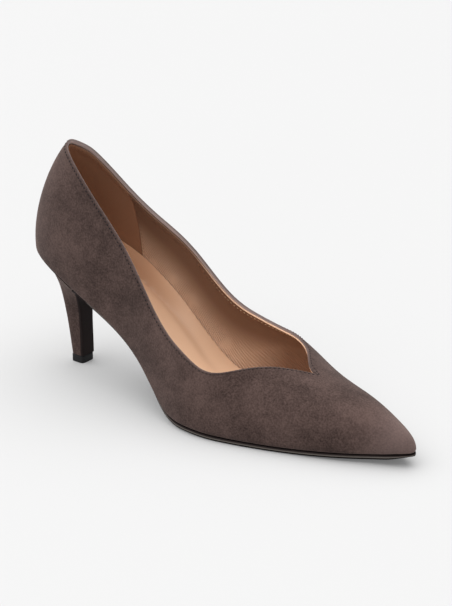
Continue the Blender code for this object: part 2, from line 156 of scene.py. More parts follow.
# %% Smooth curves through the tables
def spline(places, values, start=None, end=None):
    """Cubic pieces that share slopes where they meet. An end slope that isn't given is left free."""
    x = np.asarray(places, float)
    y = np.asarray(values, float)
    step = np.diff(x)
    rise = np.diff(y) / step
    count = len(x)
    system = np.zeros((count, count))
    known = np.zeros(count)
    for i in range(1, count - 1):
        system[i, i - 1 : i + 2] = step[i], 2 * (step[i - 1] + step[i]), step[i - 1]
        known[i] = 3 * (step[i] * rise[i - 1] + step[i - 1] * rise[i])
    system[0, :2] = (2, 1) if start is None else (1, 0)
    known[0] = 3 * rise[0] if start is None else start
    system[-1, -2:] = (1, 2) if end is None else (0, 1)
    known[-1] = 3 * rise[-1] if end is None else end
    slope = np.linalg.solve(system, known)

    def curve(at):
        at = np.clip(at, x[0], x[-1])
        i = np.clip(np.searchsorted(x, at) - 1, 0, count - 2)
        t = (at - x[i]) / step[i]
        first = y[i] * (1 + 2 * t) + slope[i] * step[i] * t
        last = y[i + 1] * (3 - 2 * t) - slope[i + 1] * step[i] * (1 - t)
        return first * (1 - t) ** 2 + last * t**2

    return curve


def round_place(along):
    """Place of a share of the length on a scale that opens out at both ends, 0 to 1."""
    return np.arccos(1 - 2 * np.clip(along, 0, 1)) / np.pi


def share_at(place):
    """The share of the length at a place on that scale."""
    return (1 - np.cos(np.pi * np.asarray(place, float))) / 2


def curve_of(table, index, **ends):
    """A column of a table as a smooth curve over the round scale."""
    return spline(round_place(table[:, 0]), table[:, index], **ends)


OUTER = -1
INNER = 1
FLAT = {"start": 0.0, "end": 0.0}
PLANS = {OUTER: curve_of(PLAN, 1), INNER: curve_of(PLAN, 2)}
BED_RISE = spline(RISE[:, 0], RISE[:, 1], start=SEAT_SLOPE, end=0.0)
RIDGE_SHIFT = spline(RIDGE[:, 0], RIDGE[:, 1])
RIDGE_HEIGHT = curve_of(WALLS, 1, **FLAT)
LEANS = {OUTER: curve_of(WALLS, 2, **FLAT), INNER: curve_of(WALLS, 3, **FLAT)}
LIFTS = curve_of(WALLS, 4, **FLAT)
SHOULDERS = {OUTER: curve_of(WALLS, 5, **FLAT), INNER: curve_of(WALLS, 6, **FLAT)}
TOPLINES = {OUTER: curve_of(TOPLINE, 1, start=0.0), INNER: curve_of(TOPLINE, 2, start=0.0)}


# %% The foot bed, the feather line and the wall curves
def bed(x):
    """Height of the upper's underside: the table's rise, and a toe that lifts as a square."""
    share = np.clip(x / LENGTH, 0, 1)
    spring = np.clip((share - SPRING_START) / (1 - SPRING_START), 0, 1) ** 2
    return TREAD_HEIGHT + (SEAT_HEIGHT - TREAD_HEIGHT) * BED_RISE(share) + TOE_SPRING * spring


def above_bed(x, distance):
    """Height of the surface that lies a distance off the bed, measured square to its slope."""
    slope = (bed(x + STEP) - bed(x - STEP)) / (2 * STEP)
    return bed(x) + distance * np.sqrt(1 + slope**2)


def ridge(x):
    """Height of the last's ridge."""
    return bed(x) + CONE_HEIGHT * RIDGE_HEIGHT(round_place(x / LENGTH))


def feather(place, side, inset=0.0):
    """Plan points of the feather line, moved inwards along its normal by the inset."""
    place = np.asarray(place, float)
    ends = []
    for at in (place - TINY / 2, place + TINY / 2):
        mirrored = np.where((at < 0) | (at > 1), -1, 1)
        inside = np.abs(np.where(at > 1, 2 - at, at))
        ends.append((LENGTH * share_at(inside), mirrored * side * BALL_WIDTH * PLANS[side](inside)))
    run = np.stack(ends[1]) - np.stack(ends[0])
    run /= np.hypot(*run)
    x = LENGTH * share_at(place)
    y = side * BALL_WIDTH * PLANS[side](place)
    return x + side * run[1] * inset, y - side * run[0] * inset


def axis_place(x):
    """Where the plane through the feather line at x meets the axis: a square's ease, then x itself."""
    past = np.clip(x - HEEL_FAN + FAN_EASE, 0, 2 * FAN_EASE)
    eased = HEEL_FAN + past**2 / (4 * FAN_EASE)
    return np.minimum(np.where(past < 2 * FAN_EASE, eased, x), LENGTH - TOE_FAN)


def wall_frame(place, side):
    """The axis and the way out of each wall plane, and the four control values of its cubic curve."""
    x, y = feather(place, side)
    axis_x = axis_place(x)
    axis_y = BALL_WIDTH * RIDGE_SHIFT(axis_x / LENGTH)
    reach = np.maximum(np.hypot(x - axis_x, y - axis_y), SLIGHT)
    out = (x - axis_x) / reach, (y - axis_y) / reach
    foot = bed(x)
    crest = ridge(axis_x)
    ridge_slope = (ridge(axis_x + STEP) - ridge(axis_x - STEP)) / (2 * STEP)
    slope = np.where(x > LENGTH - TOE_FAN, ridge_slope, 0.0)
    shoulder = SHOULDERS[side](place) * reach
    lean = BALL_WIDTH * LEANS[side](place)
    radii = np.stack([reach, reach + lean, shoulder, 0 * reach])
    lifted = foot + LIFTS(place) * (crest - foot)
    heights = np.stack([foot, lifted, crest + slope * out[0] * shoulder, crest])
    return (axis_x, axis_y), out, radii, heights


def cubic(ends, t):
    """Bezier curve with four control values, for each column at its parameters t."""
    a, b, c, d = (value[:, None] for value in ends)
    return a * (1 - t) ** 3 + 3 * b * t * (1 - t) ** 2 + 3 * c * t**2 * (1 - t) + d * t**3


def topline_share(place, side, setback):
    """How far up the wall curves a layer goes: the topline's share less the setback, all at the notch.

    A deep setback grows shallow along the two lobes, where the lining comes up to the edge."""
    deep = np.maximum(setback - LOBE_SETBACK, 0)
    notch = round_place(NOTCH)
    own_notch = round_place(NOTCH + (setback - deep) / LENGTH)
    share = TOPLINES[side](np.minimum(place * notch / own_notch, notch))
    _, _, radii, heights = wall_frame(place, side)
    near = np.stack([share - NEAR, share + NEAR], axis=-1)
    speed = np.hypot(np.diff(cubic(radii, near))[:, 0], np.diff(cubic(heights, near))[:, 0]) / (2 * NEAR)
    fade = np.clip((own_notch - place) * LENGTH / NOTCH_FADE, 0, 1)
    lobe = np.clip((share_at(place) - LOBE_FROM) / (LOBE_TO - LOBE_FROM), 0, 1)
    return np.where(place >= own_notch - SLIGHT, 1.0, share - (setback - deep * lobe) / speed * fade)


print("ball", round(BALL_WIDTH * float(PLANS[OUTER](0.5) + PLANS[INNER](0.5)), 1), "mm wide at half length")

# %% [markdown]
# ## Sheets, layers and closed shells
# Leather goods are layers of one thickness, so every layer here starts as an open sheet, a grid of columns
# along the shoe and rows up the wall. A shell then adds a second sheet a wall's thickness inside it, and
# joins the two round their edges: with a rolled edge where leather is turned over, or a square one where it
# is cut. Solidify could do this too, but it can't roll the edge or change the thickness smoothly along it.

# %% How finely the sheets are divided
COLUMNS = 150
CORNER_ROWS = 7
WALL_ROWS = 18
EDGE_DEPTHS = np.array([8.0, 6.6, 5.4, 4.3, 3.4, 2.7, 2.1, 1.6, 1.2, 0.8, 0.4, 0.0])
EDGE_SHARE = 0.45
MEASURES = 9

# Shares of the way from one corner to the next, without the corners
BETWEEN = np.linspace(0, 1, 9)[1:-1]


# %% The sheet of the upper
def places_with_notch(setback):
    """Places along the feather line, with one on the notch and one at the end of each fan."""
    own_notch = NOTCH + min(setback, LOBE_SETBACK) / LENGTH
    fixed = round_place(np.array([0.0, HEEL_FAN / LENGTH, own_notch, 1 - TOE_FAN / LENGTH, 1.0]))
    steps = np.maximum(1, np.round(np.diff(fixed) * COLUMNS)).astype(int)
    runs = [np.linspace(a, b, n + 1)[1:] for a, b, n in zip(fixed, fixed[1:], steps)]
    return np.concatenate([[0.0], *runs]), steps[:2].sum()


def wall_rows(place, side, setback):
    """Points from the lasting margin, round the corner and up the wall, for each column."""
    axis, out, radii, heights = wall_frame(place, side)
    foot = heights[0]
    start = CORNER / (3 * LIFTS(place) * (heights[3] - foot))
    top = topline_share(place, side, setback)
    run = start[:, None] + (top - start)[:, None] * np.linspace(0, 1, MEASURES)
    length = np.hypot(np.diff(cubic(radii, run)), np.diff(cubic(heights, run))).sum(1)
    edge = np.minimum(EDGE_DEPTHS[0], EDGE_SHARE * length) / length
    join = top - (top - start) * edge
    low = start[:, None] + (join - start)[:, None] * np.linspace(0, 1, WALL_ROWS + 1)[:-1]
    high = join[:, None] + (top - join)[:, None] * (1 - EDGE_DEPTHS / EDGE_DEPTHS[0])
    t = np.hstack([low, high])
    wall_r = cubic(radii, t)
    wall_z = cubic(heights, t)
    lead_r = cubic(radii, start[:, None] + TINY)[:, 0] - wall_r[:, 0]
    lead_z = cubic(heights, start[:, None] + TINY)[:, 0] - wall_z[:, 0]
    bend_r = wall_r[:, 0] - lead_r / lead_z * (wall_z[:, 0] - foot)
    margin_r = bend_r - CORNER
    inner_r = radii[0] - np.minimum(MARGIN, MARGIN_SHARE * radii[0])
    u = np.linspace(0, 1, CORNER_ROWS + 1)[:-1]
    corner_r = np.outer(margin_r, (1 - u) ** 2) + np.outer(bend_r, 2 * u * (1 - u))
    corner_r = corner_r + np.outer(wall_r[:, 0], u**2)
    corner_z = np.outer(foot, 1 - u**2) + np.outer(wall_z[:, 0], u**2)
    r = np.hstack([inner_r[:, None], corner_r, wall_r])
    z = np.hstack([foot[:, None], corner_z, wall_z])
    x = axis[0][:, None] + out[0][:, None] * r
    y = axis[1][:, None] + out[1][:, None] * r
    on_bed = np.concatenate([[1.0], (1 - u) ** 2, np.zeros(t.shape[1])])
    return np.stack([x, y, z + (bed(x) - foot[:, None]) * on_bed], axis=-1)


def grid_quads(ids):
    """Quads between neighbouring columns and rows of a grid of point numbers."""
    a, b = ids[:-1, :-1].ravel(), ids[1:, :-1].ravel()
    c, d = ids[1:, 1:].ravel(), ids[:-1, 1:].ravel()
    return np.stack([a, b, c, d], axis=1)


def weld(grid):
    """A grid's points with doubles made one, the grid of their numbers, and where each was found first."""
    flat = np.round(grid.reshape(-1, 3), 6)
    points, found, ids = np.unique(flat, axis=0, return_index=True, return_inverse=True)
    return points, ids.reshape(grid.shape[:2]), found


def tube(grid):
    """A welded grid whose rows close on themselves: points, quads, and where each point was found."""
    points, ids, found = weld(grid)
    return points, grid_quads(np.hstack([ids, ids[:, :1]])), found


def unit(vectors):
    """Rows made one long."""
    return vectors / np.linalg.norm(vectors, axis=1)[:, None]


def normals_of(points, quads):
    """Each point's normal: the sum of the crossed diagonals of the quads round it, made one long."""
    a, b, c, d = (points[quads[:, k]] for k in range(4))
    crossed = np.cross(c - a, d - b)
    total = np.zeros_like(points)
    for k in range(4):
        np.add.at(total, quads[:, k], crossed)
    return unit(total)


def upper_sheet(setback):
    """The two sides as one sheet from toe to heel to toe, welded along the ridge and at the toe point.

    Returns its points, quads and normals, the grid of point numbers, and the topline's points in order."""
    places, notch = places_with_notch(setback)
    outer = wall_rows(places, OUTER, setback)
    inner = wall_rows(places, INNER, setback)
    fan = places >= round_place(1 - TOE_FAN / LENGTH) - SLIGHT
    outer[fan, -1] = outer[fan, -1][0]
    inner[0] = outer[0]
    inner[-1] = outer[-1]
    inner[notch:, -1] = outer[notch:, -1]
    points, ids, _ = weld(np.concatenate([outer[::-1], inner[1:]]))
    quads = grid_quads(ids)[:, ::-1]
    first = len(places) - 1 - notch
    loop = ids[first : first + 2 * notch, -1]
    around = np.concatenate([-places[::-1], places[1:]])
    return points, quads, normals_of(points, quads), ids, loop, around


sheet = upper_sheet(0.0)
print("sheet of the upper:", len(sheet[0]), "points,", len(sheet[4]), "of them on the topline")


# %% Layers with a thickness, and their edges
def edge_ways(points, normals, loop):
    """At each point of an edge, the way along the surface that leads off it, away from the material."""
    along = np.roll(points[loop], -1, axis=0) - np.roll(points[loop], 1, axis=0)
    away = unit(np.cross(normals[loop], along))
    centre = points[loop].mean(axis=0)
    inward = ((centre - points[loop]) * away).sum()
    return away if inward > 0 else -away


def shell(surface, depth, thickness, edge_rows, bulge):
    """A closed layer under a sheet: from a depth down to that depth and a thickness, edge and all.

    The topline's edge is half an ellipse, from the outer face round to the inner one."""
    points, quads, normals, ids, loop, _ = surface
    count = len(points)
    outside = points - normals * depth[:, None]
    inside = points - normals * (depth + thickness)[:, None]
    away = edge_ways(points, normals, loop)
    angle = np.linspace(0, np.pi, edge_rows + 1)[1:-1]
    middle = (outside + inside)[loop] / 2
    half = thickness[loop][:, None] / 2
    turns = [middle + np.cos(a) * half * normals[loop] + np.sin(a) * bulge * away for a in angle]
    turned = np.arange(len(angle) * len(loop)).reshape(len(angle), -1) + 2 * count
    strip = np.stack([loop, *turned, loop + count], axis=1)
    hem = np.stack([ids[:, 0] + count, ids[:, 0]], axis=1)
    quads = np.concatenate([
        quads,
        quads[:, ::-1] + count,
        grid_quads(np.vstack([strip, strip[:1]])),
        grid_quads(hem),
    ])
    return np.concatenate([outside, inside, *turns]), quads


def on_shell(outside, inside, edge, body):
    """Numbers for a shell's points: its outer sheet's, its inner sheet's and its topline edge's."""
    turns = len(body) - 2 * len(outside)
    return np.concatenate([outside, inside, np.resize(edge, turns)])


def outward(points, quads):
    """The quads, all turned over if the volume that they close comes out negative."""
    a, b, c, d = (points[quads[:, k]] for k in range(4))
    volume = (a * np.cross(b, c)).sum() + (a * np.cross(c, d)).sum()
    return quads if volume > 0 else quads[:, ::-1]


def faces_of(quads):
    """Quads as they are, or as triangles where two neighbouring corners are one point."""
    same = quads == np.roll(quads, -1, axis=1)
    faces = quads[~same.any(axis=1)].tolist()
    for k in range(4):
        once = same[:, k] & (same.sum(axis=1) == 1)
        faces += np.delete(quads[once], k, axis=1).tolist()
    return faces


def in_scene(name, data):
    """An object with the data, linked to the scene."""
    made = bpy.data.objects.new(name, data)
    bpy.context.scene.collection.objects.link(made)
    return made


def new_piece(name, points, quads, finish, node=None, values=None, sharp=40):
    """A piece of the shoe: a mesh in metres at the origin, which rides on the body and has its finish."""
    mesh = bpy.data.meshes.new(name)
    placed = (np.asarray(points) - (HEEL_SET_IN, 0, 0)) * MM
    mesh.from_pydata(placed.tolist(), [], faces_of(outward(np.asarray(points), quads)))
    for key, numbers in (values or {}).items():
        mesh.attributes.new(key, "FLOAT", "POINT").data.foreach_set("value", np.asarray(numbers, float))
    mesh.shade_smooth()
    mesh.set_sharp_from_angle(angle=np.radians(sharp))
    mesh.materials.append(finish)
    piece = in_scene(name, mesh)
    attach(piece, "root")
    if node:
        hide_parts(node)
    print(name, "has", len(mesh.polygons), "faces")
    return piece


# %% [markdown]
# ## Finishes
# A finish is one Principled BSDF with nodes that vary its colour, roughness and bump. Wiring nodes by hand
# hides the arithmetic, so sums on sockets are written here as Python expressions: each operator adds one
# Math node. Every other node comes from one method that takes its type, its settings and its inputs.

# %% Shader arithmetic
class Value:
    """A socket of a material, on which Python's operators add Math nodes."""

    def __init__(self, finish, socket):
        self.finish = finish
        self.socket = socket

    def math(self, operation, *values):
        return self.finish.node("ShaderNodeMath", {"operation": operation}, dict(enumerate(values)))

    def __add__(self, other):
        return self.math("ADD", self, other)

    def __radd__(self, other):
        return self.math("ADD", other, self)

    def __sub__(self, other):
        return self.math("SUBTRACT", self, other)

    def __rsub__(self, other):
        return self.math("SUBTRACT", other, self)

    def __mul__(self, other):
        return self.math("MULTIPLY", self, other)

    def __rmul__(self, other):
        return self.math("MULTIPLY", other, self)

    def bell(self, width):
        """One where the value is zero, falling off as a bell of about the width."""
        return self.math("EXPONENT", self * self * (-1 / width**2))

    def wave(self, length):
        """A sine of the value, with the length from crest to crest."""
        return self.math("SINE", self * (2 * np.pi / length))


class Finish:
    """A material, whose nodes all come from one method."""

    def __init__(self, name, fixed):
        self.material = bpy.data.materials.new(name)
        self.material.use_nodes = True
        self.tree = self.material.node_tree
        self.shader = self.tree.nodes["Principled BSDF"]
        for socket, value in fixed.items():
            self.shader.inputs[socket].default_value = value
        self.place = self.node("ShaderNodeTexCoord", output="Object")

    def node(self, kind, settings=None, inputs=None, output=0):
        made = self.tree.nodes.new(kind)
        for name, value in (settings or {}).items():
            setattr(made, name, value)
        for key, value in (inputs or {}).items():
            if isinstance(value, Value):
                self.tree.links.new(value.socket, made.inputs[key])
            else:
                made.inputs[key].default_value = value
        return Value(self, made.outputs[output])

    def noise(self, size, detail=2.0):
        """Noise whose spots are about the size, in millimetres, from 0 to 1."""
        inputs = {"Vector": self.place, "Scale": 1 / (size * MM), "Detail": detail}
        return self.node("ShaderNodeTexNoise", {}, inputs, "Fac")

    def value(self, name):
        """A number that the mesh carries on its points."""
        return self.node("ShaderNodeAttribute", {"attribute_name": name}, output="Fac")

    def between(self, value, low, high):
        """0 below the low value, 1 above the high one, with a soft change between them."""
        inputs = {"Value": value, "From Min": low, "From Max": high}
        return self.node("ShaderNodeMapRange", {"interpolation_type": "SMOOTHSTEP"}, inputs)

    def mix(self, factor, first, second):
        """The first colour turning into the second as the factor goes from 0 to 1."""
        return self.node("ShaderNodeMix", {"data_type": "RGBA"}, {0: factor, 6: first, 7: second}, 2)

    def run(self):
        """The run along the shoe, in metres: Object X."""
        return self.node("ShaderNodeSeparateXYZ", {}, {"Vector": self.place}, 0)

    def bump(self, height, distance, under=None):
        """A normal tilted by a height that stands for a distance in millimetres, or a depth if negative."""
        inputs = {"Height": height, "Distance": abs(distance) * MM}
        if under:
            inputs["Normal"] = under
        return self.node("ShaderNodeBump", {"invert": distance < 0}, inputs)

    def feed(self, **links):
        for name, value in links.items():
            self.tree.links.new(value.socket, self.shader.inputs[name.replace("_", " ")])
        return self.material


def colour(red, green, blue):
    """A colour from its 0 to 255 values on a screen, as the shader's own light values."""
    screen = np.array([red, green, blue]) / 255
    return (*np.where(screen <= 0.04045, screen / 12.92, ((screen + 0.055) / 1.055) ** 2.4), 1.0)


# %% [markdown]
# ### Suede
# Suede is the split side of a hide, sanded to a short nap. It has no gloss, but its fibres catch light where
# the surface turns away, which the sheen gives. Strokes of a hand leave it in soft lighter and darker
# clouds, and close up it is speckled. Both are noise on Object coordinates, large and small. Painted light
# is added on top: a painted highlight on the tip of the toe and along the rolled topline and its inner face,
# painted shade in the stitch groove, and a painted shadow on the suede beside the lining's edge.

# %% Suede
STITCH_DEPTH = 1.5
SUEDE_DARK = colour(48, 36, 33)
SUEDE_LIGHT = colour(94, 76, 71)
# Painted highlight: the rolled topline's edge and the suede's inner face below it are lightened towards this
# colour
SUEDE_EDGE_HIGHLIGHT = colour(206, 188, 184)
# Painted shade in the stitch groove
SUEDE_GROOVE_SHADE = colour(44, 33, 32)
# Painted highlight on the tip of the toe
SUEDE_TIP_HIGHLIGHT = colour(134, 114, 110)
# Painted shadow on the suede's inner face where it meets the lining's edge
SUEDE_TUCK_SHADOW = colour(30, 20, 18)
SUEDE_CUT = colour(140, 128, 122)
GROOVE_WIDE = 0.45
# Run along the shoe over which the painted highlight at the toe sets in
TIP_HIGHLIGHT_FROM = 196.0
TIP_HIGHLIGHT_TO = 220.0


def suede(name, worked=True):
    """Clouds, speckle and nap. A worked suede also has its topline's stitch groove and its side seam, with
    painted highlights on the toe tip and the rolled edge, and painted shade in the groove and beside the
    lining's edge.
    """
    finish = Finish(name, {
        "Specular IOR Level": 0.12,
        "Sheen Weight": 0.16,
        "Sheen Roughness": 0.55,
        "Sheen Tint": colour(214, 196, 190),
    })
    clouds = finish.noise(24.0, 3.0)
    mottle = finish.noise(5.5, 3.0)
    speckle = finish.noise(0.95)
    fibre = finish.noise(0.28)
    tone = 0.48 * clouds + 0.24 * mottle + 0.50 * speckle - 0.11
    height = 0.55 * speckle + 0.45 * fibre
    base = finish.mix(finish.between(tone, 0.26, 0.76), SUEDE_DARK, SUEDE_LIGHT)
    normal = finish.bump(height, 0.16)
    if worked:
        # painted highlight towards the tip of the toe
        tip = finish.between(finish.run(), TIP_HIGHLIGHT_FROM * MM, TIP_HIGHLIGHT_TO * MM)
        base = finish.mix(tip * 0.4, base, SUEDE_TIP_HIGHLIGHT)
        # painted highlight on the rolled edge and down its inner face
        base = finish.mix(finish.value("pale"), base, SUEDE_EDGE_HIGHLIGHT)
        # painted shadow beside the lining's edge
        base = finish.mix(finish.value("tuck_shadow") * 0.85, base, SUEDE_TUCK_SHADOW)
        seam = finish.value("seam").bell(GROOVE_WIDE) * finish.value("medial")
        groove = (finish.value("edge") - STITCH_DEPTH).bell(GROOVE_WIDE)
        # painted shade in the stitch groove
        base = finish.mix(groove * 0.12, base, SUEDE_GROOVE_SHADE)
        base = finish.mix(seam * 0.5, base, SUEDE_CUT)
        normal = finish.bump(groove * 0.5 + seam, -0.3, normal)
    return finish.feed(Base_Color=base, Roughness=0.98 - 0.08 * speckle, Normal=normal)


# %% [markdown]
# ### Smooth leathers
# The lining and the sock are thin, undyed leathers: a warm tan with a fine pebbled grain and a low gloss.
# The lining is pulled tight over the last's corner, which gathers it into fine slanting wrinkles above the
# sock. They are a bump, with painted shade along them. They follow the wall, so they are a wave of two
# numbers that the mesh carries: the run along the shoe and the rise above the sock.

# %% Lining and sock leather
LINING_TAN = colour(230, 200, 174)
LINING_DEEP = colour(216, 182, 156)
# Painted shade: the lining darkens towards this colour up the wall and towards the toe
LINING_SHADE_COLOUR = colour(112, 78, 58)
# The quarter's darker tan is its own rougher leather piece, and in part painted shade inside the heel
QUARTER_TAN = colour(168, 126, 98)
QUARTER_DEEP = colour(150, 108, 82)
# Painted shade along the wrinkles, and the darker tone of the quarter's seam and its stitch holes
WRINKLE_SHADE_AND_SEAM = colour(132, 88, 64)
SOCK_TAN = colour(238, 198, 164)
SOCK_DEEP = colour(228, 184, 150)
# Painted shade along the fold where the sock turns up the flank
SOCK_FOLD_SHADE = colour(176, 128, 98)
WRINKLE_PITCH = 2.3
WRINKLE_SLANT = 0.75
WRINKLE_WANDER = 1.6
WRINKLES_FADE = 12.0
WRINKLES_END = 34.0
QUARTER_SEAM = 57.0
HOLES_BEYOND = 1.5
CUT_EDGE = colour(240, 200, 170)


def lining_leather(name):
    """Pebbled tan with slanting wrinkles near the sock and painted shade along them and up the wall, a
    rougher quarter that is partly painted shade, and a pale cut edge.
    """
    finish = Finish(name, {"Specular IOR Level": 0.35})
    clouds = finish.noise(14.0)
    grain = finish.noise(0.7)
    fine = finish.noise(0.3, 1.0)
    run = finish.value("run")
    rise = finish.value("rise")
    quarter = 1 - finish.between(run, QUARTER_SEAM - 0.2, QUARTER_SEAM + 0.2)
    front = finish.mix(clouds, LINING_DEEP, LINING_TAN)
    front = finish.mix(finish.value("shade"), front, LINING_SHADE_COLOUR)
    # the quarter's darker leather, in part painted shade inside the heel
    base = finish.mix(quarter, front, finish.mix(grain, QUARTER_DEEP, QUARTER_TAN))
    base = finish.mix(finish.value("cut"), base, CUT_EDGE)
    slanted = run * WRINKLE_SLANT + rise + WRINKLE_WANDER * finish.noise(6.0)
    low = 1 - finish.between(rise, WRINKLES_FADE, WRINKLES_END)
    patches = finish.between(finish.noise(9.0, 1.0), 0.2, 0.55)
    wrinkles = slanted.wave(WRINKLE_PITCH) * low * patches * (1 - quarter)
    seam = (run - QUARTER_SEAM).bell(0.5)
    holes = (run - QUARTER_SEAM - HOLES_BEYOND).bell(0.4) * finish.between(rise.wave(2.3), 0.3, 0.9)
    # painted shade along the wrinkles
    base = finish.mix(finish.between(wrinkles, 0.0, 1.0) * 0.4, base, WRINKLE_SHADE_AND_SEAM)
    base = finish.mix(seam * 0.6 + holes * 0.5, base, WRINKLE_SHADE_AND_SEAM)
    normal = finish.bump(grain * 0.6 + fine * 0.4, 0.09)
    normal = finish.bump(wrinkles, -0.1, normal)
    normal = finish.bump(seam + holes, -0.3, normal)
    roughness = 0.5 + 0.2 * grain + 0.2 * quarter
    return finish.feed(Base_Color=base, Roughness=roughness, Normal=normal)


def sock_leather(name):
    """Smooth, lighter tan with a soft grain, and painted shade along the flank's fold."""
    finish = Finish(name, {"Specular IOR Level": 0.4})
    clouds = finish.noise(26.0)
    grain = finish.noise(0.6)
    base = finish.mix(clouds, SOCK_DEEP, SOCK_TAN)
    # painted shade along the fold
    base = finish.mix(finish.value("fold") * 0.3, base, SOCK_FOLD_SHADE)
    normal = finish.bump(grain, 0.05)
    return finish.feed(Base_Color=base, Roughness=0.42 + 0.2 * grain, Normal=normal)


# %% [markdown]
# ### Sole, wearing piece and thread
# The sole is dark leather. A greyer band along its forepart's edge is a painted highlight, partly its waxed
# finish, and its underside is darkened as painted shadow. The top lift is black rubber, and the threads are
# dull polyester: dark outside, pale where the bobbin thread shows inside. Both stand out less at one end of
# the shoe, the outer row over the vamp and the inner one round the heel, as in the photograph: each row is
# painted darker towards the back of the shoe as shade.

# %% Sole, rubber and thread
# Run along the shoe over which each thread turns from its painted shade at the back to its own colours
THREAD_BACK = 70.0
THREAD_FRONT = 105.0


def dark_leather(name):
    """Dark leather, nearly black, with a greyer edge and a darker underside that the mesh marks: the edge is
    a painted highlight, partly its waxed finish, and the underside is painted shadow.
    """
    finish = Finish(name, {"Specular IOR Level": 0.1})
    grain = finish.noise(0.5)
    scuffs = finish.noise(6.0, 4.0)
    dark = finish.mix(scuffs, colour(35, 27, 27), colour(52, 42, 41))
    rim = finish.value("rim")
    # painted highlight along the forepart's edge, partly the edge's own waxed grey
    base = finish.mix(finish.between(rim, 0.3, 1.0), dark, colour(112, 106, 100))
    # painted shadow: the underside turns nearly black
    base = finish.mix(finish.between(0 - rim, -0.2, 0.5), base, colour(8, 7, 7))
    normal = finish.bump(grain, 0.04)
    return finish.feed(Base_Color=base, Roughness=0.6 + 0.25 * scuffs, Normal=normal)


def rubber(name):
    """Black rubber with a moulded matt skin."""
    finish = Finish(name, {"Specular IOR Level": 0.25})
    grain = finish.noise(0.35)
    base = finish.mix(grain, colour(20, 20, 21), colour(38, 38, 39))
    return finish.feed(Base_Color=base, Roughness=0.5 + 0.2 * grain, Normal=finish.bump(grain, 0.03))


def thread(name, dark, light, back):
    """Fuzzy thread, which takes on a darker colour towards the back of the shoe: painted shade."""
    finish = Finish(name, {"Specular IOR Level": 0.3})
    fuzz = finish.noise(0.25, 1.0)
    front = finish.between(finish.run(), THREAD_BACK * MM, THREAD_FRONT * MM)
    # painted shade towards the back of the shoe
    base = finish.mix(front, back, finish.mix(fuzz, dark, light))
    return finish.feed(Base_Color=base, Roughness=0.7 + 0.2 * fuzz, Normal=finish.bump(fuzz, 0.03))


# %% [markdown]
# ## The suede upper
# The suede is skived, turned over along the topline and stitched, so the edge is a soft roll of two
# thicknesses. The sheet stops half a roll below the topline, and the shell's edge rolls over it.

# %% The suede's shell
EDGE_THICK = 1.6
SUEDE_THICK = 0.85
FOLD_NEAR = 4.5
FOLD_FAR = 9.0
LINING_SETBACK = 2.8
# Width of the painted shadow beside the lining's edge
TUCK_SHADOW_WIDTH = 0.45
# How strongly the painted highlight lightens the outer face near the edge and the inner face below it
EDGE_HIGHLIGHT_OUTSIDE = 0.02
EDGE_HIGHLIGHT_INSIDE = 1.0
EDGE_ROWS = 8
SEAM_AT = 0.484
SEAM_HEIGHT = 44.0
SEAM_SLOPE = 0.58
FAR_OFF = 50.0


def soft_step(value, low, high):
    """0 below the low value and 1 above the high one, with level ends."""
    t = np.clip((value - low) / (high - low), 0, 1)
    return t * t * (3 - 2 * t)


def distance_to(points, line):
    """Distance from each point to the nearest of a line's points."""
    squared = (points**2).sum(1)[:, None] + (line**2).sum(1)[None] - 2 * points @ line.T
    return np.sqrt(np.maximum(squared.min(axis=1), 0))


def suede_depth(edge):
    """Thickness of the suede: two layers along the topline, one below the end of the fold."""
    return SUEDE_THICK + (EDGE_THICK - SUEDE_THICK) * (1 - soft_step(edge, FOLD_NEAR, FOLD_FAR))


def ids_side(points, ids, around):
    """-1 on the outer side, 1 on the inner one, for each point of a sheet."""
    side = np.zeros(len(points))
    side[ids] = np.sign(around)[:, None] * np.ones(ids.shape[1])
    return side


def make_suede_upper():
    """The suede's shell, with what its finish reads: distances to the topline and the seam, and the painted
    highlight and painted shadow near the topline.
    """
    surface = upper_sheet(EDGE_THICK / 2)
    points, _, _, ids, loop, around = surface
    edge = distance_to(points, points[loop])
    body, faces = shell(surface, 0 * edge, suede_depth(edge), EDGE_ROWS, EDGE_THICK / 2)
    height = points[:, 2] - bed(points[:, 0])
    seam = points[:, 0] - LENGTH * SEAM_AT - (height - SEAM_HEIGHT) * SEAM_SLOPE
    medial = (ids_side(points, ids, around) > 0) * (1 - soft_step(np.abs(seam), 8, 14))
    rolled = edge + EDGE_THICK / 2
    # painted shadow on the inner face at the lining's edge, round the back of the shoe
    tuck_shadow = np.exp(-(((rolled - LINING_SETBACK) / TUCK_SHADOW_WIDTH) ** 2))
    tuck_shadow *= 1 - soft_step(points[:, 0] / LENGTH, LOBE_FROM, LOBE_TO)
    # painted highlight: near the edge outside, and down the inner face to the lining's edge
    highlight_outside = EDGE_HIGHLIGHT_OUTSIDE * (1 - soft_step(rolled, 0.6, 1.2))
    highlight_inside = EDGE_HIGHLIGHT_INSIDE * (1 - soft_step(rolled, LINING_SETBACK - 0.5, LINING_SETBACK))
    round_share = np.arange(1, EDGE_ROWS) / EDGE_ROWS
    highlight_round = np.repeat(EDGE_HIGHLIGHT_OUTSIDE + (EDGE_HIGHLIGHT_INSIDE - EDGE_HIGHLIGHT_OUTSIDE) * round_share**3, len(loop))
    values = {
        "edge": on_shell(rolled, 0 * rolled + FAR_OFF, FAR_OFF, body),
        "pale": on_shell(highlight_outside, highlight_inside, highlight_round, body),
        "seam": on_shell(seam, seam, FAR_OFF, body),
        "medial": on_shell(medial, 0 * medial, 0, body),
        "tuck_shadow": on_shell(0 * tuck_shadow, tuck_shadow, 0, body),
    }
    return new_piece("upper_suede", body, faces, suede("Suede"), "upper", values)


upper_suede = make_suede_upper()

# %% [markdown]
# ## The lining
# The lining is a second layer inside the suede. Its cut edge lies a little below the rolled topline. The
# edge shows as a pale line at the back of the heel and along the lobes, and between them takes the painted
# shade. Light fades up the wall and towards the toe, which the mesh carries as a painted shade.

